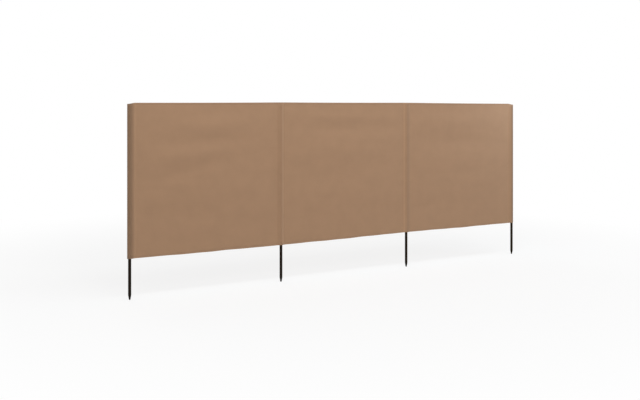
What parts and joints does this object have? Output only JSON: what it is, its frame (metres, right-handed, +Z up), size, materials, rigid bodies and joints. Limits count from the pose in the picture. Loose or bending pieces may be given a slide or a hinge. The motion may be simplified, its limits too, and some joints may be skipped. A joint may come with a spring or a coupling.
{
  "type": "fabric windbreak",
  "caption": "Fabric windbreak screen: plain hemmed cloth bays held by sewn tunnels on pointed tube poles that push into the ground.",
  "frame": {"origin": "middle of the blunt tip face of the first pole's spike", "axes": "+X along the screen from the first pole to the last, +Z up the poles, -Y is the front of the cloth"},
  "size_m": [4, 0.026, 1.515],
  "materials": {
    "cloth": "matte woven taupe",
    "tube": "satin dark brown",
    "plug": "dark moulded"
  },
  "bodies": {
    "root": {"pole_1": "tube", "pole_2": "tube", "pole_3": "tube", "pole_4": "tube", "spike_1": "plug", "spike_2": "plug", "spike_3": "plug", "spike_4": "plug", "cap_1": "plug", "cap_2": "plug", "cap_3": "plug", "cap_4": "plug", "sleeve_1": "cloth", "sleeve_2": "cloth", "sleeve_3": "cloth", "sleeve_4": "cloth", "panel_1": "cloth", "panel_2": "cloth", "panel_3": "cloth", "top_hem_1": "cloth", "top_hem_2": "cloth", "top_hem_3": "cloth", "bottom_hem_1": "cloth", "bottom_hem_2": "cloth", "bottom_hem_3": "cloth"}
  },
  "joints": []
}
